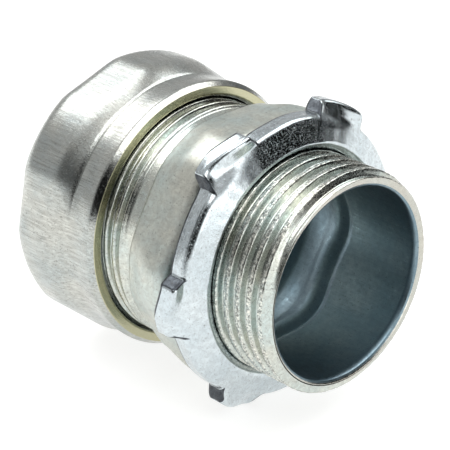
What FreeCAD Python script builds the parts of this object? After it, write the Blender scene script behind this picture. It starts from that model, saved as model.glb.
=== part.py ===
"""Steel compression connector for 1 in. trade size thin-wall conduit (EMT).

Millimetres.  The axis of the fitting is X.  The origin is on the axis, in the
flat shoulder that seats against the wall of an enclosure: the threaded hub
points along +X, the conduit enters from -X, and +Z is up.
"""
import FreeCAD
import Part
import math
import os

INCH = 25.4
CONDUIT_RADIUS = 1.163 * INCH / 2        # 1 in. trade size thin-wall conduit
OVERRUN = 1.0                            # how far cutting tools pass the material
GROOVE_OVERCUT = 0.3                     # how far thread cutters pass the crests

# hub that passes through the knockout
HUB_LENGTH = 15.3
HUB_RADIUS = 16.5
HUB_PITCH = INCH / 11.5
HUB_THREAD_DEPTH = 1.05
HUB_THREAD_ROOT = 0.5                    # width of the flat root
HUB_THREAD_START = 1.3                   # first groove, from the shoulder
HUB_RIM_CHAMFER = 0.7
THROAT_RADIUS = 14.45
THROAT_BEVEL = 0.35
THROAT_START = 0.6

# hexagonal bulge between the two threads
BULGE_LENGTH = 9.4
BULGE_FLAT = 19.4                        # axis to flat
BULGE_CORNER_ROUND = 6.0
BULGE_PEAK = 21.3                        # axis to the rounded corners
BULGE_PEAK_X = -1.6
BULGE_REAR_RADIUS = 19.6
BULGE_EDGE_ROUND = 1.4
BULGE_FIRST_CORNER = 0.4                 # degrees from +Y towards +Z
BULGE_WALL = 2.3
NECK_RADIUS = 17.8
NECK_END = -12.4

# gland end
REAR_END = -26.5
REAR_RADIUS = 18.3
REAR_PITCH = INCH / 14
REAR_THREAD_DEPTH = 0.9
REAR_THREAD_ROOT = 0.45                  # width of the flat root
REAR_CHAMFER = 0.6
SOCKET_RADIUS = CONDUIT_RADIUS + 0.18
SOCKET_START = -9.8
MOUTH_RADIUS = 16.65
GLAND_SLOPE = 0.74                       # radius gained per length on the gland cones

# play of both screw threads
FLANK_PLAY = 0.14
CREST_PLAY = 0.15
MINOR_PLAY = 0.25

# locknut
LOCKNUT_FACE = 5.5
LOCKNUT_THICKNESS = 3.1
LOCKNUT_DISH = 1.5                       # how far the rim lies behind the hole
LOCKNUT_RADIUS = 21.4
LOCKNUT_HOLE_EDGE = 17.6
LOCKNUT_HOLE_CHAMFER = 1.0
LUG_COUNT = 6
LUG_RADIUS = 23.6
LUG_FIRST_ANGLE = 2.4                    # degrees from +Y towards +Z
LUG_TIP_HALF_ANGLE = 9.5
LUG_ROOT_HALF_ANGLE = 13.5
LUG_BACK = 0.5                           # lug tips stop this far from the shoulder

# compression nut
NUT_FACE = -16.05
NUT_END = -34.2
NUT_FACE_RADIUS = 20.3
NUT_COLLAR_RADIUS = 20.9
NUT_COLLAR_START = -16.9
NUT_COLLAR_END = -21.5
NUT_DRUM_RADIUS = 22.1
NUT_DRUM_START = -26.5
NUT_FLAT = 21.45                         # axis to the shallow wrench flats
NUT_CORNER_ROUND = 10.0
NUT_FIRST_CORNER = 19.4                  # degrees from +Y towards +Z
NUT_REAR_ROUND = 4.0
NUT_MOUTH_RADIUS = 18.95
NUT_THREAD_END = -27.0
NUT_RELIEF_RADIUS = 18.7
NUT_FLOOR = -32.7
NUT_HOLE_RADIUS = CONDUIT_RADIUS + 0.38

# split compression ring
RING_NOSE = -27.9
RING_NOSE_RADIUS = 15.35
RING_BORE_RADIUS = CONDUIT_RADIUS + 0.23
RING_RADIUS = 17.2
RING_LAND = 0.8
RING_BACK = -32.5
RING_BACK_RADIUS = 15.9
RING_SPLIT = 1.6
RING_SPLIT_ANGLE = 245.0                 # degrees from +Y towards +Z
GLAND_PLAY = 0.2

X_AXIS = FreeCAD.Vector(1, 0, 0)
Y_AXIS = FreeCAD.Vector(0, 1, 0)
ORIGIN = FreeCAD.Vector(0, 0, 0)
FLANK_SLOPE = math.tan(math.radians(30))  # half of the 60 degree thread angle


def on_section(x, radius):
    """A point of an axial section, in the plane Z = 0."""
    return FreeCAD.Vector(x, radius, 0)


def at_angle(x, radius, angle):
    """A point at an angle in degrees from +Y towards +Z."""
    turn = math.radians(angle)
    return FreeCAD.Vector(x, radius * math.cos(turn), radius * math.sin(turn))


def rounded_corner(before, corner, after, rounding):
    """The two ends of a corner, and the edges that round it."""
    if rounding == 0:
        return corner, corner, []
    back = (before - corner).normalize()
    ahead = (after - corner).normalize()
    half_angle = back.getAngle(ahead) / 2
    reach = rounding / math.tan(half_angle)
    inward = (back + ahead).normalize()
    start = corner + back * reach
    middle = corner + inward * (rounding / math.sin(half_angle) - rounding)
    end = corner + ahead * reach
    return start, end, [Part.Arc(start, middle, end).toShape()]


def turned(corners):
    """The solid turned from an axial section of (x, radius, rounding) corners."""
    points = [on_section(x, radius) for x, radius, rounding in corners]
    ends = []
    for index, corner in enumerate(points):
        before = points[index - 1]
        after = points[(index + 1) % len(points)]
        ends.append(rounded_corner(before, corner, after, corners[index][2]))
    edges = []
    for index, (start, end, arc) in enumerate(ends):
        edges.extend(arc)
        next_start = ends[(index + 1) % len(ends)][0]
        edges.append(Part.makeLine(end, next_start))
    return Part.Face(Part.Wire(edges)).revolve(ORIGIN, X_AXIS, 360)


def cylinder(x_low, x_high, radius):
    """A plain cylinder about the axis."""
    return Part.makeCylinder(radius, x_high - x_low, on_section(x_low, 0), X_AXIS)


def hexagonal_prism(x_low, x_high, flat, rounding, first_corner):
    """A prism along the axis whose six long edges are rounded."""
    corner_radius = flat / math.cos(math.radians(30))
    corners = [at_angle(x_low, corner_radius, first_corner + 60 * side) for side in range(6)]
    base = Part.Face(Part.makePolygon(corners + corners[:1]))
    prism = base.extrude(FreeCAD.Vector(x_high - x_low, 0, 0))
    long_edges = [edge for edge in prism.Edges if edge.Length > 0.9 * (x_high - x_low)
                  and abs(edge.tangentAt(edge.FirstParameter).x) > 0.9]
    return prism.makeFillet(rounding, long_edges)


def groove_half_width(radius, root_radius, root_width):
    """Half the width of an external thread groove at a radius."""
    return root_width / 2 + (radius - root_radius) * FLANK_SLOPE


def helical_cutter(x_start, x_end, pitch, inner, outer):
    """A right-hand helical cutter that passes +Z at x_start.

    inner and outer are the (radius, half width) of its trapezium.
    """
    outline = [
        FreeCAD.Vector(inner[0], 0, -inner[1]),
        FreeCAD.Vector(outer[0], 0, -outer[1]),
        FreeCAD.Vector(outer[0], 0, outer[1]),
        FreeCAD.Vector(inner[0], 0, inner[1]),
    ]
    path = Part.Wire(Part.makeLongHelix(pitch, x_end - x_start, outer[0], 0))
    cutter = path.makePipeShell([Part.makePolygon(outline + outline[:1])], True, True)
    cutter.rotate(ORIGIN, Y_AXIS, 90)
    cutter.rotate(ORIGIN, X_AXIS, 180)
    cutter.translate(on_section(x_start, 0))
    return cutter


def external_groove(x_start, x_end, pitch, crest_radius, depth, root_width):
    """The cutter for an external thread."""
    root = crest_radius - depth
    outside = crest_radius + GROOVE_OVERCUT
    inner = (root, groove_half_width(root, root, root_width))
    outer = (outside, groove_half_width(outside, root, root_width))
    return helical_cutter(x_start, x_end, pitch, inner, outer)


def internal_groove(x_start, x_end, pitch, crest_radius, depth, root_width):
    """The cutter that leaves an internal ridge with play in the external groove."""
    root = crest_radius - depth
    major = crest_radius + CREST_PLAY
    half_widths = []
    for radius in (root, major):
        ridge = groove_half_width(radius, root, root_width) - FLANK_PLAY
        half_widths.append(pitch / 2 - ridge)
    return helical_cutter(x_start, x_end, pitch, (root, half_widths[0]), (major, half_widths[1]))


def bulge():
    """The hexagonal bulge, fuller towards the shoulder."""
    outline = turned([
        (0, 0, 0),
        (0, BULGE_PEAK, BULGE_EDGE_ROUND),
        (BULGE_PEAK_X * 2, BULGE_PEAK, 2 * BULGE_EDGE_ROUND),
        (-BULGE_LENGTH, BULGE_REAR_RADIUS, BULGE_EDGE_ROUND / 2),
        (-BULGE_LENGTH - BULGE_EDGE_ROUND, NECK_RADIUS, 0),
        (-BULGE_LENGTH - BULGE_EDGE_ROUND, 0, 0),
    ])
    prism = hexagonal_prism(-BULGE_LENGTH - BULGE_EDGE_ROUND - OVERRUN, OVERRUN,
                            BULGE_FLAT, BULGE_CORNER_ROUND, BULGE_FIRST_CORNER)
    return outline.common(prism)


def bulge_cavity():
    """The space inside the bulge, which keeps the wall even."""
    reach = BULGE_PEAK - BULGE_WALL
    flare = (reach - THROAT_RADIUS) / 0.9
    outline = turned([
        (THROAT_START, 0, 0),
        (THROAT_START, THROAT_RADIUS, 0),
        (THROAT_START - flare, reach, 1.0),
        (-BULGE_LENGTH / 2 - BULGE_WALL, reach, 1.0),
        (SOCKET_START, SOCKET_RADIUS, 0),
        (SOCKET_START, 0, 0),
    ])
    prism = hexagonal_prism(SOCKET_START - OVERRUN, THROAT_START + OVERRUN, BULGE_FLAT - BULGE_WALL,
                            BULGE_CORNER_ROUND - BULGE_WALL, BULGE_FIRST_CORNER)
    return outline.common(prism)


def body_bore():
    """Throat, conduit socket and gland mouth."""
    bevel = THROAT_BEVEL + OVERRUN
    mouth_end = REAR_END + (MOUTH_RADIUS - SOCKET_RADIUS) / GLAND_SLOPE
    throat = turned([
        (HUB_LENGTH + OVERRUN, 0, 0),
        (HUB_LENGTH + OVERRUN, THROAT_RADIUS + bevel, 0),
        (HUB_LENGTH - THROAT_BEVEL, THROAT_RADIUS, 0),
        (THROAT_START - OVERRUN, THROAT_RADIUS, 0),
        (THROAT_START - OVERRUN, 0, 0),
    ])
    socket = turned([
        (SOCKET_START + OVERRUN, 0, 0),
        (SOCKET_START + OVERRUN, SOCKET_RADIUS, 0),
        (mouth_end, SOCKET_RADIUS, 0),
        (REAR_END - OVERRUN, MOUTH_RADIUS + GLAND_SLOPE * OVERRUN, 0),
        (REAR_END - OVERRUN, 0, 0),
    ])
    return throat.fuse([socket, bulge_cavity()])


def make_connector_body():
    """One formed steel tube: threaded hub, hexagonal bulge, neck and gland thread."""
    hub = turned([
        (-OVERRUN, 0, 0),
        (-OVERRUN, HUB_RADIUS, 0),
        (HUB_LENGTH - HUB_RIM_CHAMFER, HUB_RADIUS, 0),
        (HUB_LENGTH, HUB_RADIUS - HUB_RIM_CHAMFER, 0),
        (HUB_LENGTH, 0, 0),
    ])
    neck = cylinder(NECK_END - OVERRUN, -BULGE_LENGTH, NECK_RADIUS)
    gland = turned([
        (NECK_END, 0, 0),
        (NECK_END, REAR_RADIUS, 0.3),
        (REAR_END + REAR_CHAMFER, REAR_RADIUS, 0),
        (REAR_END, REAR_RADIUS - REAR_CHAMFER, 0),
        (REAR_END, 0, 0),
    ])
    solid = hub.fuse([bulge(), neck, gland]).removeSplitter()
    solid = solid.cut(body_bore())
    solid = solid.cut(external_groove(HUB_THREAD_START, HUB_LENGTH + HUB_PITCH, HUB_PITCH,
                                      HUB_RADIUS, HUB_THREAD_DEPTH, HUB_THREAD_ROOT))
    return solid.cut(external_groove(REAR_END - REAR_PITCH, NECK_END - REAR_PITCH / 2, REAR_PITCH,
                                     REAR_RADIUS, REAR_THREAD_DEPTH, REAR_THREAD_ROOT))


def locknut_lug(angle):
    """One lug of the locknut: a tapered tab whose tip is bent back to bite."""
    face_x = LOCKNUT_FACE - LOCKNUT_DISH
    section = turned([
        (face_x + 0.3, LOCKNUT_RADIUS - 1.5, 0),
        (face_x - 0.1, LUG_RADIUS, 1.0),
        (LUG_BACK, LUG_RADIUS, 0.3),
        (LUG_BACK, LOCKNUT_RADIUS + 0.5, 0),
        (face_x - LOCKNUT_THICKNESS + 0.3, LOCKNUT_RADIUS - 1.5, 0),
    ])
    root = LOCKNUT_RADIUS - 3
    tip = LUG_RADIUS + OVERRUN
    tab = [
        at_angle(LUG_BACK - OVERRUN, root, angle - LUG_ROOT_HALF_ANGLE),
        at_angle(LUG_BACK - OVERRUN, tip, angle - LUG_TIP_HALF_ANGLE),
        at_angle(LUG_BACK - OVERRUN, tip, angle + LUG_TIP_HALF_ANGLE),
        at_angle(LUG_BACK - OVERRUN, root, angle + LUG_ROOT_HALF_ANGLE),
    ]
    prism = Part.Face(Part.makePolygon(tab + tab[:1])).extrude(X_AXIS * LOCKNUT_FACE)
    return section.common(prism)


def make_locknut():
    """A dished, stamped nut with lugs on its rim."""
    minor = HUB_RADIUS - HUB_THREAD_DEPTH + MINOR_PLAY
    rim_face = LOCKNUT_FACE - LOCKNUT_DISH
    back = LOCKNUT_FACE - LOCKNUT_THICKNESS
    plate = turned([
        (LOCKNUT_FACE - LOCKNUT_HOLE_CHAMFER, minor, 0),
        (LOCKNUT_FACE, LOCKNUT_HOLE_EDGE, 0),
        (rim_face, LOCKNUT_RADIUS, 0.4),
        (rim_face - LOCKNUT_THICKNESS, LOCKNUT_RADIUS, 0.3),
        (back, minor + 0.8, 0),
        (back, minor, 0),
    ])
    lugs = [locknut_lug(LUG_FIRST_ANGLE + 360 / LUG_COUNT * index) for index in range(LUG_COUNT)]
    solid = plate.fuse(lugs).removeSplitter()
    thread_start = HUB_THREAD_START - 1.5 * HUB_PITCH
    return solid.cut(internal_groove(thread_start, LOCKNUT_FACE + HUB_PITCH, HUB_PITCH,
                                     HUB_RADIUS, HUB_THREAD_DEPTH, HUB_THREAD_ROOT))


def make_compression_nut():
    """A deep-drawn cup nut: round collar, drum with shallow flats, rounded rear."""
    minor = REAR_RADIUS - REAR_THREAD_DEPTH + MINOR_PLAY
    outline = turned([
        (NUT_FACE, 0, 0),
        (NUT_FACE, NUT_FACE_RADIUS, 0),
        (NUT_COLLAR_START, NUT_COLLAR_RADIUS, 0),
        (NUT_COLLAR_END, NUT_COLLAR_RADIUS, 6.0),
        (NUT_DRUM_START, NUT_DRUM_RADIUS, 6.0),
        (NUT_END, NUT_DRUM_RADIUS, NUT_REAR_ROUND),
        (NUT_END, 0, 0),
    ])
    prism = hexagonal_prism(NUT_END - OVERRUN, NUT_FACE + OVERRUN,
                            NUT_FLAT, NUT_CORNER_ROUND, NUT_FIRST_CORNER)
    mouth = NUT_MOUTH_RADIUS - minor
    seat = RING_BACK_RADIUS + GLAND_PLAY
    inside = turned([
        (NUT_FACE + OVERRUN, 0, 0),
        (NUT_FACE + OVERRUN, NUT_MOUTH_RADIUS + OVERRUN, 0),
        (NUT_FACE - mouth, minor, 0),
        (NUT_THREAD_END, minor, 0),
        (NUT_THREAD_END, NUT_RELIEF_RADIUS, 0),
        (NUT_FLOOR + (NUT_RELIEF_RADIUS - seat), NUT_RELIEF_RADIUS, 0),
        (NUT_FLOOR, seat, 0),
        (NUT_FLOOR, 0, 0),
    ])
    hole = cylinder(NUT_END - OVERRUN, NUT_FLOOR + OVERRUN, NUT_HOLE_RADIUS)
    solid = outline.common(prism).cut(inside.fuse(hole))
    thread_start = REAR_END - REAR_PITCH * 1.5
    return solid.cut(internal_groove(thread_start, NUT_FACE + REAR_PITCH, REAR_PITCH,
                                     REAR_RADIUS, REAR_THREAD_DEPTH, REAR_THREAD_ROOT))


def make_compression_ring():
    """The split ring that both cones squeeze onto the conduit."""
    full = RING_NOSE - (RING_RADIUS - RING_NOSE_RADIUS) / GLAND_SLOPE
    ring = turned([
        (RING_NOSE, RING_BORE_RADIUS, 0),
        (RING_NOSE, RING_NOSE_RADIUS, 0),
        (full, RING_RADIUS, 0.3),
        (full - RING_LAND, RING_RADIUS, 0.3),
        (RING_BACK, RING_BACK_RADIUS, 0),
        (RING_BACK, RING_BORE_RADIUS, 0),
    ])
    corner = FreeCAD.Vector(RING_BACK - OVERRUN, 0, -RING_SPLIT / 2)
    slit = Part.makeBox(RING_NOSE - RING_BACK + 2 * OVERRUN, RING_RADIUS + OVERRUN, RING_SPLIT, corner)
    slit.rotate(ORIGIN, X_AXIS, RING_SPLIT_ANGLE)
    return ring.cut(slit)


NODES = {
    "connector_body": make_connector_body,
    "locknut": make_locknut,
    "compression_nut": make_compression_nut,
    "compression_ring": make_compression_ring,
}

os.makedirs("parts", exist_ok=True)
for name, make in NODES.items():
    shape = make()
    if len(shape.Solids) != 1 or not shape.isValid():
        raise RuntimeError(name + " is not one valid solid")
    shape.Solids[0].exportStep("parts/" + name + ".step")
    print(name, round(shape.Volume), "mm3")
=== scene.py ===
import math
import bpy
import numpy as np
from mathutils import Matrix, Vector, noise


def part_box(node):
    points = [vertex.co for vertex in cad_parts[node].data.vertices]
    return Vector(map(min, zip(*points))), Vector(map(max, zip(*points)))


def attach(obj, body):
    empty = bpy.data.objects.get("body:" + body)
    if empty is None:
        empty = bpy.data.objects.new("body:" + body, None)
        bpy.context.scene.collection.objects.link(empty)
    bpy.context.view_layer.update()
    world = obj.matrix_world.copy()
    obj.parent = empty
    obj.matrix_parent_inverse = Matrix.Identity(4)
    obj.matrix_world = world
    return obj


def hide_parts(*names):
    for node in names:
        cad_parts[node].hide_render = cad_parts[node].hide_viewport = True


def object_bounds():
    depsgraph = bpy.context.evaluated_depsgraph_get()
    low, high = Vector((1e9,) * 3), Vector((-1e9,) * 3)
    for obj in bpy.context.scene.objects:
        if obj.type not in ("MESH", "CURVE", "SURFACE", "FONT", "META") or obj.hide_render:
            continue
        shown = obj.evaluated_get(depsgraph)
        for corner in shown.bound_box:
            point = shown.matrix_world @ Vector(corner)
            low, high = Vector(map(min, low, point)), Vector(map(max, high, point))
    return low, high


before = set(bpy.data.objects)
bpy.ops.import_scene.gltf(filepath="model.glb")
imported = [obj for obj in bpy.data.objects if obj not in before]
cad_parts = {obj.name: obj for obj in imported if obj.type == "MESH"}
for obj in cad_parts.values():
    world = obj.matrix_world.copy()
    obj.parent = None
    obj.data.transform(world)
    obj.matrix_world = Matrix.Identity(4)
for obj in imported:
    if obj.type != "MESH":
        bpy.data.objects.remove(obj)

cad_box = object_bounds()
MM = 0.001


def full_turn(around):
    """A row of evenly spaced angles round the axis, from +Y towards +Z."""
    return (np.arange(around) * 2 * math.pi / around)[None, :]


AROUND = 360                        # vertices round the axis of the turned pieces
ANGLES = full_turn(AROUND)

# ---------------------------------------------------------------- places, from the frame
body_low, body_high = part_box("connector_body")
nut_low, nut_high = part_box("compression_nut")
locknut_low, locknut_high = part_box("locknut")
ring_low, ring_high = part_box("compression_ring")
HUB_END = body_high.x / MM
REAR_END = body_low.x / MM
NUT_END = nut_low.x / MM
NUT_FACE = nut_high.x / MM
LOCKNUT_FACE = locknut_high.x / MM
LUG_BACK = locknut_low.x / MM
RING_NOSE = ring_high.x / MM
RING_BACK = ring_low.x / MM

# ---------------------------------------------------------------- driving sizes, in mm
SIXTH = math.pi / 3
PLAY = 0.15                         # radial room between the threads that mesh
LEAST_WALL = 0.55                   # left under the hub's grooves at its chamfer

HUB_RADIUS = 16.5                   # over the thread's crests
HUB_PITCH = 25.4 / 11.5
HUB_DEPTH = 1.05
HUB_THREAD_START = 1.3
HUB_CHAMFER = 0.7
THROAT_RADIUS = 14.45
SHOULDER = 0.0

BULGE_BACK = -9.4
BULGE_FLAT = 19.4                   # from the axis to a hexagon flat
BULGE_ROUND = 6.0
BULGE_PEAK = 21.25
BULGE_REAR_RADIUS = 19.5
BULGE_CORNER = math.radians(0.4)
NOSE_LENGTH = 1.9                   # the bulge's rounded front edge
NOSE_DROP = 3.4
LIP_LENGTH = 1.8
LIP_DROP = 1.5
CREASE_DEPTH = 0.45                 # the scalloped crease inside the hub
CREASE_FRONT = 1.1
CREASE_PEAK = -2.0
FORMED_FRONT = 2.6                  # the forming marks inside end here
NECK_RADIUS = 17.8
NECK_END = -12.4
NECK_FILLET = 1.3

REAR_RADIUS = 18.3
REAR_PITCH = 25.4 / 14
REAR_DEPTH = 0.9
REAR_CHAMFER = 0.62
SOCKET_RADIUS = 14.95
SOCKET_STOP = -9.8
MOUTH_RADIUS = 16.65
GLAND_SLOPE = 0.74

LOCKNUT_AROUND = 720
LOCKNUT_THICKNESS = 3.1
LOCKNUT_DISH = 1.5
LOCKNUT_RADIUS = 21.4
LOCKNUT_HOLE = 17.6                 # where the dish starts, outside the thread
LOCKNUT_MINOR = HUB_RADIUS - HUB_DEPTH + 0.25
LOCKNUT_STEPS = 22                  # stations across a face
LOCKNUT_EDGE = 0.7
LOCKNUT_BACK_EDGE = 0.75
LUG_RADIUS = 23.55
LUG_FIRST = math.radians(2.4)
LUG_TIP = math.radians(9.5)
LUG_ROOT = math.radians(13.5)
LUG_FORWARD = 0.35                  # the lug's leading corner
LUG_BACKWARD = 1.9                  # how much further back its other corner is

NUT_COLLAR_RADIUS = 20.9
NUT_COLLAR_END = -21.5
NUT_DRUM_RADIUS = 22.05
NUT_DRUM_REAR = -29.0               # the flats run straight from here back
NUT_REAR_ROUND = 4.0
NUT_FLAT = 21.45
NUT_ROUND = 10.0
NUT_CORNER = math.radians(19.4)
NUT_CREASE = math.radians(119)      # the middle of the sharp crease behind the collar
NUT_FACE_RADIUS = 20.15
NUT_MOUTH_RADIUS = 19.0
NUT_MINOR = REAR_RADIUS - REAR_DEPTH + 0.25
NUT_RELIEF_RADIUS = 18.7
NUT_RELIEF_FRONT = -27.0
NUT_SEAT_RADIUS = 16.1
NUT_FLOOR = -32.7
NUT_HOLE_RADIUS = 15.15

RING_AROUND = 240
RING_BORE = 15.0
RING_NOSE_RADIUS = 15.3
RING_BACK_RADIUS = 15.85
RING_PEAK = 17.15
RING_PEAK_FRONT = -30.4
RING_PEAK_BACK = -31.1
RING_SLIT = math.radians(245.0)
RING_SLIT_HALF = math.radians(3.0)


# ---------------------------------------------------------------- shape helpers
def smooth_step(value):
    """Zero below 0, one above 1, and smooth between."""
    value = np.clip(value, 0, 1)
    return value * value * (3 - 2 * value)


def soft_min(first, second, width):
    """The smaller of two lengths, rounded where they cross."""
    gap = np.clip(0.5 + 0.5 * (second - first) / width, 0, 1)
    return second * (1 - gap) + first * gap - width * gap * (1 - gap)


def hexagon(angles, flat, rounding, corner):
    """The radius of a hexagon with rounded corners, at each angle."""
    turn = np.mod(angles - corner, SIXTH) - SIXTH / 2
    off_flat = np.abs(turn)
    off_corner = SIXTH / 2 - off_flat
    centre = (flat - rounding) / math.cos(SIXTH / 2)
    straight = flat / np.cos(off_flat)
    reach = np.sqrt(np.maximum(rounding ** 2 - (centre * np.sin(off_corner)) ** 2, 0))
    rounded = centre * np.cos(off_corner) + reach
    tangent = (flat - rounding) * math.tan(SIXTH / 2)
    return np.where(flat * np.tan(off_flat) < tangent, straight, rounded)


def groove(x, angles, start, pitch, depth, root, soft=0.12):
    """How deep a right-hand thread groove is, from 0 at the crest to 1 at the root."""
    phase = start + pitch * (angles - math.pi / 2) / (2 * math.pi)
    offset = np.abs(np.mod(x - phase + pitch / 2, pitch) - pitch / 2)
    half_top = root / 2 + depth * math.tan(math.pi / 6)
    rise = (half_top - offset) / (depth * math.tan(math.pi / 6))
    return np.clip(soft_min(smooth_step(rise * 0.5 + 0.25) * 2 - 0.5, np.ones_like(rise), soft), 0, 1)


def ripple(x, angles, radius, size, seed):
    """Smooth noise over a turned surface, about -1 to 1, with features of a size in mm."""
    out = np.empty(np.broadcast(x, angles).shape)
    xs = np.broadcast_to(x, out.shape)
    turns = np.broadcast_to(angles, out.shape)
    flat = out.ravel()
    for index, (along, turn) in enumerate(zip(xs.ravel(), turns.ravel())):
        across = radius * math.cos(turn) / size
        upward = radius * math.sin(turn) / size
        flat[index] = noise.noise((along / size + seed, across, upward))
    return out


def run(start, end, count):
    """Stations along a straight stretch of a section, without its last point."""
    share = np.arange(count) / count
    return [(start[0] + (end[0] - start[0]) * s, start[1] + (end[1] - start[1]) * s) for s in share]


def bend(centre, radius, first, last, count):
    """Stations along an arc of a section, in degrees from +X towards the outside."""
    turns = [math.radians(first + (last - first) * n / count) for n in range(count + 1)]
    return [(centre[0] + radius * math.cos(t), centre[1] + radius * math.sin(t)) for t in turns]


def skin(name, x, radius, angles=ANGLES, second_from=None):
    """A closed ring-shaped mesh from stations round a section and round the axis.

    Stations from second_from on take the piece's second material.
    """
    stations, around = radius.shape
    x = np.broadcast_to(x, radius.shape)
    turns = np.broadcast_to(angles, radius.shape)
    points = np.stack([x, radius * np.cos(turns), radius * np.sin(turns)], -1).reshape(-1, 3) * MM
    index = np.arange(stations * around).reshape(stations, around)
    ahead = np.roll(index, -1, 0)
    quads = np.stack([index, np.roll(index, -1, 1), np.roll(ahead, -1, 1), ahead], -1).reshape(-1, 4)
    corners = points[quads]
    normals = np.cross(corners[:, 1] - corners[:, 0], corners[:, 2] - corners[:, 0])
    if (corners.mean(1) * normals).sum() < 0:
        quads = quads[:, ::-1]
    mesh = bpy.data.meshes.new(name)
    mesh.from_pydata(points.tolist(), [], quads.tolist())
    mesh.polygons.foreach_set("use_smooth", [True] * len(quads))
    if second_from is not None:
        second = np.arange(len(quads)) >= second_from * around
        mesh.polygons.foreach_set("material_index", second.astype(int))
    piece = bpy.data.objects.new(name, mesh)
    bpy.context.scene.collection.objects.link(piece)
    return piece


# ---------------------------------------------------------------- connector body
def rounded_front(x, length):
    """One at the shoulder's edge, falling to zero a length behind it like a rounded corner."""
    return np.maximum(0, 1 - np.sqrt(np.clip(-x / length, 0, 1)))


def bulge_radius(x):
    """The turned outline that trims the bulge's hexagon: (n, 1) radii at x."""
    front = BULGE_PEAK - NOSE_DROP * rounded_front(x, NOSE_LENGTH) ** 1.6
    rear = BULGE_PEAK - (BULGE_PEAK - BULGE_REAR_RADIUS) * smooth_step((-x - 2.6) / 7.6)
    return soft_min(front, rear, 0.6)


def hub_surface(x, plain, burr):
    """The threaded outside of the hub, with burred crests."""
    started = smooth_step((x - HUB_THREAD_START + 0.9) / 0.5)
    cut = groove(x, ANGLES, HUB_THREAD_START, HUB_PITCH, HUB_DEPTH, 0.5)
    depth = np.minimum(HUB_DEPTH, plain - THROAT_RADIUS - LEAST_WALL)
    wear = 0.09 * burr * np.exp(-((cut - 0.12) / 0.22) ** 2)
    return plain - depth * cut * started + wear


def rear_surface(x, plain, burr):
    """The threaded outside behind the neck."""
    started = smooth_step((NECK_END - 0.5 - x) / 0.5)
    cut = groove(x, ANGLES, REAR_END - REAR_PITCH, REAR_PITCH, REAR_DEPTH, 0.45)
    wear = 0.04 * burr * np.exp(-((cut - 0.1) / 0.2) ** 2)
    return plain - REAR_DEPTH * cut * started + wear


def bulge_surface(x, nominal):
    """A hexagon trimmed by a turned outline, and blended into the neck."""
    fall = 0.55 * smooth_step((-x - 4.5) / 4.8)
    flats = hexagon(ANGLES, BULGE_FLAT, BULGE_ROUND, BULGE_CORNER) - fall
    hexed = soft_min(flats, bulge_radius(x), 0.7)
    hexed = hexed - LIP_DROP * rounded_front(x, LIP_LENGTH) ** 2
    share = np.clip((nominal - NECK_RADIUS) / (BULGE_PEAK - NECK_RADIUS), 0, 1)
    dent = 0.05 * ripple(x, ANGLES, 19.0, 4.0, 9.0)
    return NECK_RADIUS + (hexed - NECK_RADIUS) * share + dent * share


def body_outside(section):
    """The connector body's outer radius at each station and angle."""
    x = section[:, 0][:, None]
    nominal = section[:, 1][:, None]
    plain = np.repeat(nominal, AROUND, 1)
    burr = ripple(x, ANGLES, HUB_RADIUS, 0.55, 3.0)
    in_hub = (x > SHOULDER + 0.05) & (nominal > THROAT_RADIUS + 0.75)
    in_rear = (x < NECK_END - 0.02) & (nominal > REAR_RADIUS - 0.7)
    in_bulge = (x <= SHOULDER + 0.05) & (x > NECK_END + 0.1) & (nominal > NECK_RADIUS)
    surface = np.where(in_hub, hub_surface(x, plain, burr), plain)
    surface = np.where(in_rear, rear_surface(x, plain, burr), surface)
    return np.where(in_bulge, bulge_surface(x, nominal), surface)


def body_inside(section):
    """The connector body's inner radius, with the scalloped crease that forming left."""
    x = section[:, 0][:, None]
    wave = 0.5 + 0.5 * np.cos(6 * (ANGLES - BULGE_CORNER))
    crease_start = CREASE_FRONT + 1.2 * wave
    ridge_peak = CREASE_PEAK + 1.4 * wave
    into = smooth_step((crease_start - x) / 0.45)
    out_of = smooth_step((x - ridge_peak) / (crease_start - ridge_peak))
    beyond = smooth_step((ridge_peak - x) / 3.0) * smooth_step((x - SOCKET_STOP) / 3.0)
    base = SOCKET_RADIUS + (THROAT_RADIUS - SOCKET_RADIUS) * smooth_step((x + 6.0) / 4.0)
    depth = CREASE_DEPTH * into * out_of + 1.6 * CREASE_DEPTH * beyond
    formed = (x < FORMED_FRONT) & (x > SOCKET_STOP)
    return np.where(formed, base + depth, np.repeat(section[:, 1][:, None], AROUND, 1))


def hub_section():
    """Stations along the outside, from the hub's mouth to the shoulder's edge."""
    rim = THROAT_RADIUS + 0.5
    section = run((HUB_END - 0.12, THROAT_RADIUS + 0.32), (HUB_END, rim), 3)
    section += run((HUB_END, rim), (HUB_END, HUB_RADIUS - 0.75), 4)
    section += run((HUB_END, HUB_RADIUS - 0.75), (HUB_END - 0.65, HUB_RADIUS - 0.05), 5)
    section += run((HUB_END - HUB_CHAMFER, HUB_RADIUS), (SHOULDER + 0.02, HUB_RADIUS), 132)
    section += run((SHOULDER, HUB_RADIUS), (SHOULDER, NECK_RADIUS + 0.1), 4)
    section += run((SHOULDER, NECK_RADIUS + 0.1), (SHOULDER - 0.02, BULGE_PEAK), 5)
    return section


def bulge_section():
    """Stations along the bulge and down its fillet to the neck."""
    section = run((SHOULDER - 0.03, BULGE_PEAK), (-NOSE_LENGTH, BULGE_PEAK), 16)
    section += run((-NOSE_LENGTH, BULGE_PEAK), (BULGE_BACK + 0.3, BULGE_PEAK), 26)
    for step in range(10):
        turn = math.pi / 2 * step / 10
        x = BULGE_BACK + 0.3 - NECK_FILLET * (1 - math.cos(turn))
        section.append((x, BULGE_PEAK + (NECK_RADIUS - BULGE_PEAK) * math.sin(turn)))
    return section


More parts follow.
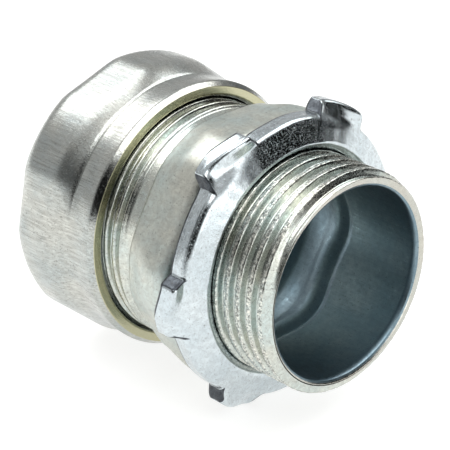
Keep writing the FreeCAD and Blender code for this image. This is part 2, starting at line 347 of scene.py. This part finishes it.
def rear_section():
    """Stations along the neck and the rear thread, to the rear mouth."""
    chamfered = REAR_RADIUS - REAR_CHAMFER
    section = run((BULGE_BACK + 0.25 - NECK_FILLET, NECK_RADIUS), (NECK_END + 0.1, NECK_RADIUS), 8)
    section += run((NECK_END + 0.05, NECK_RADIUS + 0.1), (NECK_END - 0.25, REAR_RADIUS - 0.05), 4)
    section += run((NECK_END - 0.3, REAR_RADIUS), (REAR_END + 0.6, REAR_RADIUS), 110)
    section += run((REAR_END + 0.6, REAR_RADIUS), (REAR_END, chamfered), 5)
    return section


def socket_section():
    """Stations along the gland mouth and the conduit's socket."""
    mouth_end = REAR_END + (MOUTH_RADIUS - SOCKET_RADIUS) / GLAND_SLOPE
    section = run((REAR_END, REAR_RADIUS - REAR_CHAMFER), (REAR_END, MOUTH_RADIUS), 3)
    section += run((REAR_END, MOUTH_RADIUS), (mouth_end, SOCKET_RADIUS), 6)
    section += run((mouth_end, SOCKET_RADIUS), (SOCKET_STOP, SOCKET_RADIUS), 8)
    return section


def throat_section():
    """Stations along the formed stretch and the throat, back to the hub's mouth."""
    lip = (HUB_END - 0.12, THROAT_RADIUS + 0.32)
    section = run((SOCKET_STOP, SOCKET_RADIUS), (FORMED_FRONT, THROAT_RADIUS), 40)
    section += run((FORMED_FRONT, THROAT_RADIUS), (HUB_END - 0.35, THROAT_RADIUS), 12)
    section += run((HUB_END - 0.35, THROAT_RADIUS), lip, 3)
    return section


def connector_body():
    """One formed steel tube: threaded hub, bulge, neck and gland thread."""
    outer = np.array(hub_section() + bulge_section() + rear_section())
    socket = np.array(socket_section())
    throat = np.array(throat_section())
    inner = np.concatenate([socket, throat])
    radius = np.concatenate([body_outside(outer), body_inside(inner)])
    x = np.concatenate([outer[:, 0], inner[:, 0]])[:, None]
    return skin("fitting_body", x, radius, second_from=len(outer) + len(socket))


# ---------------------------------------------------------------- locknut
def lug_share(angles):
    """How far each angle is up a lug's side (0 between lugs, 1 at a tip), and its angle to the lug."""
    turn = np.mod(angles - LUG_FIRST + SIXTH / 2, SIXTH) - SIXTH / 2
    return smooth_step((LUG_ROOT - np.abs(turn)) / (LUG_ROOT - LUG_TIP)), turn


def locknut_rim(angles, share, turn):
    """The plate's outline: six crowned lugs on a slightly uneven disc."""
    uneven = 0.12 * ripple(np.zeros((1, 1)), angles, 21.0, 5.0, 4.0)
    crown = -0.25 * (turn / LUG_TIP) ** 2 * share
    rim = LOCKNUT_RADIUS + uneven + (LUG_RADIUS - LOCKNUT_RADIUS - 0.1) * share + crown
    return np.minimum(rim, LUG_RADIUS)


def lug_lift(turn):
    """How far each lug's rim stands forward of the dish, which bends it back at one corner."""
    bent = smooth_step((1.35 * LUG_ROOT - np.abs(turn)) / (1.35 * LUG_ROOT - 0.75 * LUG_TIP))
    twist = LUG_FORWARD - LUG_BACKWARD * smooth_step((turn + LUG_TIP) / (2 * LUG_TIP))
    return twist * bent


def plate_ring(rim, lift, reach, inset):
    """A ring on the plate's front face, whose reach is 0 at the hole and 1 an inset inside the rim."""
    radius = LOCKNUT_HOLE + (rim - inset - LOCKNUT_HOLE) * reach
    slope = LOCKNUT_DISH / (LOCKNUT_RADIUS - LOCKNUT_HOLE)
    dish = slope * np.minimum(radius - LOCKNUT_HOLE, LOCKNUT_RADIUS - LOCKNUT_HOLE)
    past = smooth_step((radius - LOCKNUT_RADIUS + 1.6) / (LUG_RADIUS - LOCKNUT_RADIUS + 1.4))
    return LOCKNUT_FACE - dish + lift * past, radius


def front_rings(rim, lift):
    """The front face, then the rounded edge where it meets the rim."""
    face = [plate_ring(rim, lift, n / LOCKNUT_STEPS, LOCKNUT_EDGE) for n in range(1, LOCKNUT_STEPS)]
    rounded = []
    for n in range(5):
        bite = math.pi / 2 * n / 4
        x, radius = plate_ring(rim, lift, 1.0, LOCKNUT_EDGE * (1 - math.sin(bite)))
        rounded.append((x - LOCKNUT_EDGE * (1 - math.cos(bite)), radius))
    return face, rounded


def rim_rings(rim, lift):
    """The sheared rim between the two rounded edges."""
    x, radius = plate_ring(rim, lift, 1.0, 0.0)
    low = np.maximum(x - LOCKNUT_THICKNESS + LOCKNUT_BACK_EDGE, LUG_BACK)
    high = x - LOCKNUT_EDGE
    shares = [n / 8 for n in range(1, 8)]
    return [(high + (low - high) * s, radius - 0.05 * math.sin(math.pi * s)) for s in shares]


def back_rings(rim, lift):
    """The rounded edge behind the rim, then the back face."""
    rounded = []
    for n in range(6):
        bite = math.pi / 2 * n / 5
        x, radius = plate_ring(rim, lift, 1.0, LOCKNUT_BACK_EDGE * (1 - math.cos(bite)))
        x = x - LOCKNUT_THICKNESS + LOCKNUT_BACK_EDGE * (1 - math.sin(bite))
        rounded.append((np.maximum(x, LUG_BACK), radius))
    face = []
    for n in range(LOCKNUT_STEPS - 1, 0, -1):
        x, radius = plate_ring(rim, lift, n / LOCKNUT_STEPS, LOCKNUT_BACK_EDGE)
        face.append((np.maximum(x - LOCKNUT_THICKNESS, LUG_BACK), radius))
    return rounded, face


def locknut_bore(x, angles):
    """The radius of the locknut's thread, which meshes with the hub's grooves."""
    ridge = groove(x, angles, HUB_THREAD_START, HUB_PITCH, HUB_DEPTH + PLAY, 0.25)
    return HUB_RADIUS + PLAY - (HUB_RADIUS + PLAY - LOCKNUT_MINOR) * ridge


def hole_rings(angles):
    """The threaded hole from the back to the front, and its slope up to the front face."""
    back = LOCKNUT_FACE - LOCKNUT_THICKNESS
    front = LOCKNUT_FACE - 1.0
    rings = [(back, LOCKNUT_MINOR + 0.8)]
    for x in np.linspace(back, front, 30):
        rings.append((x, locknut_bore(x, angles)))
    start = locknut_bore(front, angles)
    for n in range(1, 6):
        rings.append((front + n / 6, start + (LOCKNUT_HOLE - start) * n / 6))
    return rings


def locknut():
    """A dished stamping whose six lugs are twisted back at one corner."""
    angles = full_turn(LOCKNUT_AROUND)
    share, turn = lug_share(angles)
    rim = locknut_rim(angles, share, turn)
    lift = lug_lift(turn)
    face, front_edge = front_rings(rim, lift)
    side = rim_rings(rim, lift)
    back_edge, back = back_rings(rim, lift)
    rings = face + front_edge + side + back_edge + back + hole_rings(angles)
    x = np.concatenate([np.broadcast_to(ring[0], angles.shape) for ring in rings])
    radius = np.concatenate([np.broadcast_to(ring[1], angles.shape) for ring in rings])
    lumps = 0.03 * ripple(x, angles, 20.0, 1.6, 12.0)
    off_thread = radius > LOCKNUT_HOLE + 0.2
    piece = skin("locknut_plate", x + np.where(off_thread, lumps, 0), radius, angles)
    back_first = len(face) + len(front_edge) + len(side)
    back_last = back_first + len(back_edge)
    # Dark edge material: real torn edges on the lug flanks, and painted shade all round the back edge.
    sheared = np.zeros(radius.shape, int)
    sheared[len(face):back_last] = (share[0] > 0.04) & (share[0] < 0.97)
    # The whole rounded back edge takes the dark material as painted shade for the gap between the
    # locknut and the bulge.
    sheared[back_first:back_last] = 1
    piece.data.polygons.foreach_set("material_index", sheared.ravel())
    return piece


# ---------------------------------------------------------------- compression nut
def nut_outside(section):
    """The compression nut's outer radius: round collar, then shallow wrench flats."""
    x = section[:, 0][:, None]
    nominal = section[:, 1][:, None]
    flats = hexagon(ANGLES, NUT_FLAT, NUT_ROUND, NUT_CORNER)
    drum = soft_min(flats, np.full_like(flats, NUT_DRUM_RADIUS), 0.25)
    sharp = np.sin(np.clip((NUT_COLLAR_END - x) / 4.2, 0, 1) * math.pi / 2)
    crease = smooth_step((np.cos(ANGLES - NUT_CREASE) - 0.62) / 0.25)
    rise = sharp * crease + smooth_step((NUT_COLLAR_END + 1.6 - x) / 7.5) * (1 - crease)
    collar = NUT_COLLAR_RADIUS - 0.25 * smooth_step((NUT_FACE - 1.0 - x) / 4.0)
    fold = 0.13 * np.exp(-((x - NUT_COLLAR_END) / 0.22) ** 2) * crease
    side = collar + (drum - collar) * rise - fold
    rear = drum - np.maximum(NUT_DRUM_RADIUS - nominal, 0)
    in_rear = x < NUT_DRUM_REAR
    on_side = (nominal >= NUT_COLLAR_RADIUS - 0.001) & (x < NUT_FACE - 0.9)
    dent = 0.03 * ripple(x, ANGLES, 21.0, 5.0, 2.0)
    return np.where(in_rear, rear, np.where(on_side, side, nominal)) + dent


def nut_outer_section():
    """Stations along the nut's outside, from its mouth to its rear."""
    collar = NUT_COLLAR_RADIUS
    drum_end = NUT_END + NUT_REAR_ROUND
    section = run((NUT_FACE, NUT_MOUTH_RADIUS), (NUT_FACE, NUT_FACE_RADIUS), 5)
    section += bend((NUT_FACE - 0.15, NUT_FACE_RADIUS), 0.15, 0, 60, 3)
    section += run((NUT_FACE - 0.15, NUT_FACE_RADIUS + 0.17), (NUT_FACE - 0.9, collar - 0.06), 5)
    section += run((NUT_FACE - 0.95, collar), (NUT_COLLAR_END + 1.0, collar), 10)
    section += run((NUT_COLLAR_END + 1.0, collar), (NUT_COLLAR_END - 1.0, collar), 20)
    section += run((NUT_COLLAR_END - 1.0, collar), (NUT_DRUM_REAR, collar), 30)
    section += run((NUT_DRUM_REAR, NUT_DRUM_RADIUS), (drum_end, NUT_DRUM_RADIUS), 3)
    section += bend((drum_end, NUT_DRUM_RADIUS - NUT_REAR_ROUND), NUT_REAR_ROUND, 90, 180, 20)
    return section


def nut_inner_section():
    """Stations from the nut's rear through its hole and cone to its relief."""
    cone_end = NUT_FLOOR + NUT_RELIEF_RADIUS - NUT_SEAT_RADIUS
    rear_face = NUT_FLAT - NUT_REAR_ROUND - 0.3
    section = run((NUT_END, rear_face), (NUT_END, NUT_HOLE_RADIUS + 0.25), 6)
    section += run((NUT_END + 0.25, NUT_HOLE_RADIUS), (NUT_FLOOR - 0.1, NUT_HOLE_RADIUS), 4)
    section += run((NUT_FLOOR, NUT_HOLE_RADIUS + 0.05), (NUT_FLOOR, NUT_SEAT_RADIUS), 3)
    section += run((NUT_FLOOR, NUT_SEAT_RADIUS), (cone_end, NUT_RELIEF_RADIUS), 6)
    section += run((cone_end, NUT_RELIEF_RADIUS), (NUT_RELIEF_FRONT, NUT_RELIEF_RADIUS), 4)
    section.append((NUT_RELIEF_FRONT, NUT_RELIEF_RADIUS))
    return section


def nut_thread_section():
    """Stations along the nut's thread and out to its mouth."""
    mouth = NUT_MOUTH_RADIUS - 0.25
    section = run((NUT_RELIEF_FRONT + 0.1, NUT_MINOR), (NUT_FACE - 1.3, NUT_MINOR), 96)
    section += run((NUT_FACE - 1.3, NUT_MINOR), (NUT_FACE - 0.25, mouth), 5)
    section += run((NUT_FACE - 0.25, mouth), (NUT_FACE, NUT_MOUTH_RADIUS), 2)
    return section


def nut_thread(section):
    """The radius of the nut's thread, which meshes with the body's rear grooves."""
    x = section[:, 0][:, None]
    ridge = groove(x, ANGLES, REAR_END - REAR_PITCH, REAR_PITCH, REAR_DEPTH + PLAY, 0.2)
    thread = REAR_RADIUS + PLAY - (REAR_RADIUS + PLAY - NUT_MINOR) * ridge
    return np.maximum(section[:, 1][:, None], thread)


def compression_nut():
    """A deep-drawn cup nut with an internal thread and a gland seat."""
    outer = np.array(nut_outer_section())
    inner = np.array(nut_inner_section())
    thread = np.array(nut_thread_section())
    smooth = np.repeat(inner[:, 1][:, None], AROUND, 1)
    radius = np.concatenate([nut_outside(outer), smooth, nut_thread(thread)])
    x = np.concatenate([outer[:, 0], inner[:, 0], thread[:, 0]])[:, None]
    return skin("nut_shell", x, radius)


# ---------------------------------------------------------------- compression ring
def ring_section():
    """Stations round the ring's section: a long nose, a short flat and a short nose."""
    section = run((RING_NOSE, RING_BORE), (RING_NOSE, RING_NOSE_RADIUS), 2)
    section += run((RING_NOSE, RING_NOSE_RADIUS), (RING_PEAK_FRONT + 0.05, RING_PEAK - 0.05), 8)
    section += run((RING_PEAK_FRONT, RING_PEAK), (RING_PEAK_BACK, RING_PEAK), 4)
    section += run((RING_PEAK_BACK - 0.05, RING_PEAK - 0.05), (RING_BACK, RING_BACK_RADIUS), 6)
    section += run((RING_BACK, RING_BACK_RADIUS), (RING_BACK, RING_BORE), 3)
    section += run((RING_BACK, RING_BORE), (RING_NOSE, RING_BORE), 8)
    return section


def compression_ring():
    """The split ring with two conical noses."""
    first = RING_SLIT + RING_SLIT_HALF
    turned = 2 * math.pi - 2 * RING_SLIT_HALF
    section = ring_section()
    count = len(section)
    vertices = []
    for angle in first + turned * np.arange(RING_AROUND) / (RING_AROUND - 1):
        for x, radius in section:
            vertices.append((x * MM, radius * math.cos(angle) * MM, radius * math.sin(angle) * MM))
    last_end = range((RING_AROUND - 1) * count, RING_AROUND * count)
    faces = [tuple(range(count)), tuple(reversed(last_end))]
    for turn in range(RING_AROUND - 1):
        for n in range(count):
            here = turn * count + n
            beside = turn * count + (n + 1) % count
            faces.append((here, here + count, beside + count, beside))
    mesh = bpy.data.meshes.new("gland_ring")
    mesh.from_pydata(vertices, [], faces)
    mesh.polygons.foreach_set("use_smooth", [len(face) == 4 for face in faces])
    piece = bpy.data.objects.new("gland_ring", mesh)
    bpy.context.scene.collection.objects.link(piece)
    return piece


# ---------------------------------------------------------------- materials
DIRT = (0.05, 0.045, 0.04)
DARK_FLECK = (0.07, 0.06, 0.05)
BRIGHT_FLECK = (0.90, 0.87, 0.78)
SHEARED_RIM = (0.46, 0.43, 0.38)
YELLOWED = (0.50, 0.48, 0.30)


def shader(name, metallic=1.0):
    """A new node material: its tree and its Principled node."""
    material = bpy.data.materials.new(name)
    material.use_nodes = True
    tree = material.node_tree
    principled = tree.nodes["Principled BSDF"]
    principled.inputs["Metallic"].default_value = metallic
    return material, tree, principled


def coordinates(tree, scale=(1, 1, 1)):
    """Object coordinates in millimetres, stretched."""
    place = tree.nodes.new("ShaderNodeTexCoord")
    mapping = tree.nodes.new("ShaderNodeMapping")
    mapping.inputs["Scale"].default_value = [1000 * s for s in scale]
    tree.links.new(place.outputs["Object"], mapping.inputs["Vector"])
    return mapping.outputs["Vector"]


def grain(tree, vector, scale, detail=4.0, roughness=0.6, distortion=0.0):
    """A noise value."""
    node = tree.nodes.new("ShaderNodeTexNoise")
    node.inputs["Scale"].default_value = scale
    node.inputs["Detail"].default_value = detail
    node.inputs["Roughness"].default_value = roughness
    node.inputs["Distortion"].default_value = distortion
    tree.links.new(vector, node.inputs["Vector"])
    return node.outputs["Fac"]


def span(tree, value, low, high, to_low, to_high):
    """A value carried from one range to another, and held at its ends."""
    node = tree.nodes.new("ShaderNodeMapRange")
    node.inputs["From Min"].default_value = low
    node.inputs["From Max"].default_value = high
    node.inputs["To Min"].default_value = to_low
    node.inputs["To Max"].default_value = to_high
    tree.links.new(value, node.inputs["Value"])
    return node.outputs["Result"]


def sum_of(tree, first, second, operation="ADD"):
    """Two values combined."""
    node = tree.nodes.new("ShaderNodeMath")
    node.operation = operation
    for socket, value in zip(node.inputs, (first, second)):
        if isinstance(value, (int, float)):
            socket.default_value = value
        else:
            tree.links.new(value, socket)
    return node.outputs[0]


def blend_colours(tree, share, first, second):
    """Two colours mixed by a value."""
    node = tree.nodes.new("ShaderNodeMix")
    node.data_type = "RGBA"
    tree.links.new(share, node.inputs["Factor"])
    for socket, value in ((node.inputs["A"], first), (node.inputs["B"], second)):
        if isinstance(value, tuple):
            socket.default_value = (*value, 1)
        else:
            tree.links.new(value, socket)
    return node.outputs["Result"]


def blend_values(tree, share, first, second):
    """Two values mixed by a third."""
    node = tree.nodes.new("ShaderNodeMix")
    tree.links.new(share, node.inputs["Factor"])
    tree.links.new(first, node.inputs["A"])
    node.inputs["B"].default_value = second
    return node.outputs["Result"]


def axial_vector(tree, fine):
    """Coordinates whose noise draws lines along the fitting's axis."""
    return coordinates(tree, (0.05 * fine, fine, fine))


def near_value(tree, value, middle, width):
    """One where a value is near its middle, falling to zero at its width."""
    off = sum_of(tree, value, middle, "SUBTRACT")
    away = tree.nodes.new("ShaderNodeMath")
    away.operation = "ABSOLUTE"
    tree.links.new(off, away.inputs[0])
    return span(tree, away.outputs[0], 0.4 * width, width, 1.0, 0.0)


def radial_parts(tree):
    """The distance along the axis and from the axis, in millimetres."""
    place = coordinates(tree)
    split = tree.nodes.new("ShaderNodeSeparateXYZ")
    tree.links.new(place, split.inputs[0])
    across = sum_of(tree, split.outputs["Y"], 2.0, "POWER")
    upward = sum_of(tree, split.outputs["Z"], 2.0, "POWER")
    return split.outputs["X"], sum_of(tree, sum_of(tree, across, upward), 0.5, "POWER")


def crest_mask(tree, along, away):
    """One on the hub's thread crests, less on the rear thread's, and zero elsewhere."""
    on_hub = span(tree, along, 0.6, 1.0, 0.0, 1.0)
    hub = sum_of(tree, near_value(tree, away, HUB_RADIUS, 0.20), on_hub, "MULTIPLY")
    on_rear = span(tree, along, NECK_END - 0.9, NECK_END - 0.5, 1.0, 0.0)
    rear = sum_of(tree, near_value(tree, away, REAR_RADIUS, 0.16), on_rear, "MULTIPLY")
    return sum_of(tree, hub, sum_of(tree, rear, 0.4, "MULTIPLY"), "MAXIMUM")


def burred_crests(material):
    """Dark and bright flecks on the thread crests, a dull sheared rim and a duller bulge."""
    tree = material.node_tree
    principled = tree.nodes["Principled BSDF"]
    colour = principled.inputs["Base Color"].links[0].from_socket
    smooth = principled.inputs["Roughness"].links[0].from_socket
    along, away = radial_parts(tree)
    crest = crest_mask(tree, along, away)
    flecks = grain(tree, coordinates(tree), 3.2, 3.0, 0.8)
    dark = sum_of(tree, span(tree, flecks, 0.52, 0.58, 0.0, 0.75), crest, "MULTIPLY")
    bright = sum_of(tree, span(tree, flecks, 0.46, 0.40, 0.0, 0.8), crest, "MULTIPLY")
    rim = span(tree, along, HUB_END - 0.25, HUB_END - 0.05, 0.0, 0.55)
    colour = blend_colours(tree, bright, colour, BRIGHT_FLECK)
    colour = blend_colours(tree, dark, colour, DARK_FLECK)
    colour = blend_colours(tree, rim, colour, SHEARED_RIM)
    tree.links.new(colour, principled.inputs["Base Color"])
    from_neck = span(tree, along, BULGE_BACK - 1.2, BULGE_BACK - 0.4, 0.0, 0.42)
    to_shoulder = span(tree, along, -0.4, -0.1, 1.0, 0.0)
    bulge = sum_of(tree, from_neck, to_shoulder, "MULTIPLY")
    tree.links.new(sum_of(tree, smooth, bulge, "MAXIMUM"), principled.inputs["Roughness"])
    return material


def turned_mouth(material):
    """A smooth turned chamfer at the nut's mouth, and a yellowed face inside it."""
    tree = material.node_tree
    principled = tree.nodes["Principled BSDF"]
    colour = principled.inputs["Base Color"].links[0].from_socket
    rough = principled.inputs["Roughness"].links[0].from_socket
    along, away = radial_parts(tree)
    chamfer = span(tree, along, NUT_FACE - 1.0, NUT_FACE - 0.9, 0.0, 1.0)
    tree.links.new(blend_values(tree, chamfer, rough, 0.13), principled.inputs["Roughness"])
    face = span(tree, along, NUT_FACE - 0.12, NUT_FACE - 0.03, 0.0, 0.8)
    tree.links.new(blend_colours(tree, face, colour, YELLOWED), principled.inputs["Base Color"])
    return material


def finish_zinc(tree, principled, colour, roughness, height):
    """Joins colour, roughness and bump to the shader, with heights in hundredths of a mm."""
    bump = tree.nodes.new("ShaderNodeBump")
    bump.inputs["Strength"].default_value = 1.0
    bump.inputs["Distance"].default_value = 0.01 * MM
    tree.links.new(height, bump.inputs["Height"])
    tree.links.new(bump.outputs["Normal"], principled.inputs["Normal"])
    tree.links.new(colour, principled.inputs["Base Color"])
    tree.links.new(roughness, principled.inputs["Roughness"])


def zinc(name, light, dark, tint, rough, lines, mottle, pits, waves, sparkle):
    """Electroplated zinc over formed steel, worn and speckled.

    light and tint are its cloudy colours, and dark is where it is worn. rough is the
    (least, most) roughness; lines, mottle and pits are the shares of axial drawing
    lines, spangle and dark pits in it; waves and sparkle are the heights of its coarse
    and fine relief, in hundredths of a millimetre.
    """
    material, tree, principled = shader(name)
    even = coordinates(tree)
    cloud = grain(tree, even, 0.16, 3.0)
    spangle = grain(tree, even, 1.3, 5.0, 0.72, 0.6)
    fine = grain(tree, even, 7.0, 3.0, 0.7)
    drawn = grain(tree, axial_vector(tree, 0.8), 5.0, 5.0, 0.75)
    speck = grain(tree, even, 3.1, 4.0, 0.75)
    dirt = span(tree, speck, 0.60, 0.68, 0.0, pits)
    shade = span(tree, cloud, 0.35, 0.65, 0.0, 1.0)
    colour = blend_colours(tree, shade, light, tint)
    drawn_part = sum_of(tree, drawn, lines, "MULTIPLY")
    texture = sum_of(tree, drawn_part, sum_of(tree, spangle, mottle, "MULTIPLY"))
    whole = lines + mottle
    dull = span(tree, texture, 0.40 * whole, 0.62 * whole, 0.0, 0.55)
    colour = blend_colours(tree, dull, colour, dark)
    colour = blend_colours(tree, dirt, colour, DIRT)
    roughness = span(tree, texture, 0.35 * whole, 0.65 * whole, rough[0], rough[1])
    sparks = sum_of(tree, fine, span(tree, fine, 0.62, 0.70, 0.0, 1.6))
    coarse = sum_of(tree, texture, waves, "MULTIPLY")
    height = sum_of(tree, coarse, sum_of(tree, sparks, sparkle, "MULTIPLY"))
    finish_zinc(tree, principled, colour, roughness, height)
    return material


def body_finish():
    """The body's outside."""
    plain = zinc("zinc_body_finish", (0.66, 0.67, 0.60), (0.36, 0.35, 0.31), (0.56, 0.64, 0.62),
                 rough=(0.14, 0.32), lines=0.3, mottle=0.7, pits=0.8, waves=1.5, sparkle=0.5)
    return burred_crests(plain)


def bore_painted_shade_finish():
    """The body's bluish inside, painted darker as shade inside the tube."""
    # The low brightness here is painted shade for the inside of the tube; the bluish tint is the
    # plating's own.
    return zinc("zinc_bore_painted_shade", (0.24, 0.32, 0.36), (0.14, 0.19, 0.22), (0.18, 0.27, 0.32),
                rough=(0.25, 0.45), lines=0.3, mottle=0.4, pits=0.6, waves=1.0, sparkle=0.5)


def locknut_finish():
    """The locknut's bright, pebbled faces."""
    return zinc("zinc_locknut_finish", (0.66, 0.72, 0.74), (0.44, 0.48, 0.50), (0.57, 0.64, 0.67),
                rough=(0.08, 0.19), lines=0.0, mottle=1.0, pits=0.8, waves=1.0, sparkle=1.1)


def sheared_edge_and_gap_shade_finish():
    """The dark, torn edges of the locknut's stamping, also painted all round its back edge as shade in
    the gap before the bulge.
    """
    return zinc("sheared_edge_and_gap_shade", (0.09, 0.10, 0.11), (0.03, 0.03, 0.035), (0.07, 0.08, 0.09),
                rough=(0.20, 0.35), lines=0.0, mottle=1.0, pits=0.9, waves=1.5, sparkle=2.0)


def nut_finish():
    """The nut's brushed outside."""
    plain = zinc("zinc_nut_finish", (0.58, 0.59, 0.55), (0.20, 0.19, 0.17), (0.47, 0.51, 0.50),
                 rough=(0.16, 0.34), lines=1.0, mottle=0.15, pits=0.8, waves=1.6, sparkle=0.4)
    return turned_mouth(plain)


def ring_finish():
    """The ring's plain plating."""
    return zinc("zinc_ring_finish", (0.64, 0.65, 0.66), (0.34, 0.34, 0.34), (0.56, 0.58, 0.60),
                rough=(0.22, 0.40), lines=0.3, mottle=0.5, pits=0.4, waves=2.0, sparkle=1.0)


# ---------------------------------------------------------------- studio
AMBIENT = 0.55                      # brightness of the tent between its panels
PANELS = [
    # direction, inner and outer half angle in degrees, brightness
    ((0.99, 0.02, 0.02), 15, 24, 2.4),
    ((-0.35, -0.20, 0.90), 12, 20, 2.6),
    ((-0.20, -0.88, 0.42), 12, 22, 0.12),
    ((0.17, 0.62, 0.76), 13, 20, 3.4),
    ((0.33, 0.12, 0.93), 14, 22, 3.4),
    ((0.45, -0.32, 0.83), 13, 19, 3.4),
    ((0.70, 0.70, 0.24), 28, 34, 0.005),
    ((0.53, -0.80, 0.20), 26, 34, 0.005),
    ((-0.10, 0.98, 0.10), 14, 30, 0.25),
]
KEY_DIRECTION = Vector((-0.65, -0.02, 0.76))
KEY_DISTANCE = 0.7                  # metres
KEY_SIZE = 0.40                     # metres
KEY_POWER = 1.6                     # watts
FLOOR_GAP = 0.0002                  # metres under the lowest lug
FLOOR_SIZE = 6.0                    # metres
CAMERA_OFFSET = Vector((9.115, -10.083, 6.981))     # from the hub's mouth, in hub radii
CAMERA_LOOKING = Vector((-0.6562, 0.6214, -0.4282))


def mixed_level(tree, share, level, brightness):
    """A brightness blended into the level so far, which is a number for the first panel."""
    node = tree.nodes.new("ShaderNodeMix")
    node.inputs["B"].default_value = brightness
    tree.links.new(share, node.inputs["Factor"])
    if isinstance(level, float):
        node.inputs["A"].default_value = level
    else:
        tree.links.new(level, node.inputs["A"])
    return node.outputs["Result"]


def world_light():
    """A soft studio round the object: a white tent with bright and dark panels."""
    world = bpy.data.worlds.new("studio")
    bpy.context.scene.world = world
    world.use_nodes = True
    tree = world.node_tree
    tree.nodes.clear()
    direction = tree.nodes.new("ShaderNodeTexCoord").outputs["Generated"]
    level = AMBIENT
    for toward, inner, outer, brightness in PANELS:
        dot = tree.nodes.new("ShaderNodeVectorMath")
        dot.operation = "DOT_PRODUCT"
        dot.inputs[1].default_value = Vector(toward).normalized()
        tree.links.new(direction, dot.inputs[0])
        edge, middle = math.cos(math.radians(outer)), math.cos(math.radians(inner))
        share = span(tree, dot.outputs["Value"], edge, middle, 0.0, 1.0)
        level = mixed_level(tree, share, level, brightness)
    seen = tree.nodes.new("ShaderNodeLightPath").outputs["Is Camera Ray"]
    background = mixed_level(tree, seen, level, 1.0)
    emit = tree.nodes.new("ShaderNodeBackground")
    tree.links.new(background, emit.inputs["Strength"])
    emit.inputs["Color"].default_value = (1, 1, 1, 1)
    out = tree.nodes.new("ShaderNodeOutputWorld")
    tree.links.new(emit.outputs["Background"], out.inputs["Surface"])


def area_light(name, place, target, size, power):
    """A soft square lamp that faces a point."""
    data = bpy.data.lights.new(name, "AREA")
    data.size = size
    data.energy = power
    lamp = bpy.data.objects.new(name, data)
    lamp.location = place
    lamp.rotation_mode = "QUATERNION"
    lamp.rotation_quaternion = (Vector(target) - Vector(place)).to_track_quat("-Z", "Y")
    bpy.context.scene.collection.objects.link(lamp)


def floor_sheet():
    """A wide pale floor under the lowest lug."""
    low = cad_box[0].z - FLOOR_GAP
    bpy.ops.mesh.primitive_plane_add(size=FLOOR_SIZE, location=(0, 0, low))
    plane = bpy.context.object
    plane.name = "floor"
    material, tree, principled = shader("pale_floor", 0.0)
    principled.inputs["Base Color"].default_value = (0.38, 0.38, 0.38, 1)
    principled.inputs["Roughness"].default_value = 0.9
    principled.inputs["Specular IOR Level"].default_value = 0.1
    principled.inputs["Emission Color"].default_value = (1, 1, 0.99, 1)
    principled.inputs["Emission Strength"].default_value = 0.80
    plane.data.materials.append(material)


def camera_view():
    """A long lens on the hub's mouth, from in front, from one side and above."""
    hub_front = Vector((body_high.x, 0, 0))
    data = bpy.data.cameras.new("camera")
    data.lens = 144
    data.sensor_width = 36
    data.clip_start = 0.01
    eye = bpy.data.objects.new("camera", data)
    eye.location = hub_front + CAMERA_OFFSET * HUB_RADIUS * MM
    eye.rotation_mode = "QUATERNION"
    eye.rotation_quaternion = CAMERA_LOOKING.to_track_quat("-Z", "Y")
    bpy.context.scene.collection.objects.link(eye)
    bpy.context.scene.camera = eye


# ---------------------------------------------------------------- the scene
bpy.context.scene.view_settings.view_transform = "Standard"
camera_view()
world_light()
floor_sheet()
area_light("key", KEY_DIRECTION * KEY_DISTANCE, (0, 0, 0), KEY_SIZE, KEY_POWER)

body = connector_body()
body.data.materials.append(body_finish())
body.data.materials.append(bore_painted_shade_finish())
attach(body, "body")
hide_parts("connector_body")

plate = locknut()
plate.data.materials.append(locknut_finish())
plate.data.materials.append(sheared_edge_and_gap_shade_finish())
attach(plate, "locknut")
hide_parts("locknut")

shell = compression_nut()
shell.data.materials.append(nut_finish())
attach(shell, "nut")
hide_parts("compression_nut")

ring = compression_ring()
ring.data.materials.append(ring_finish())
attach(ring, "ring")
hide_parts("compression_ring")
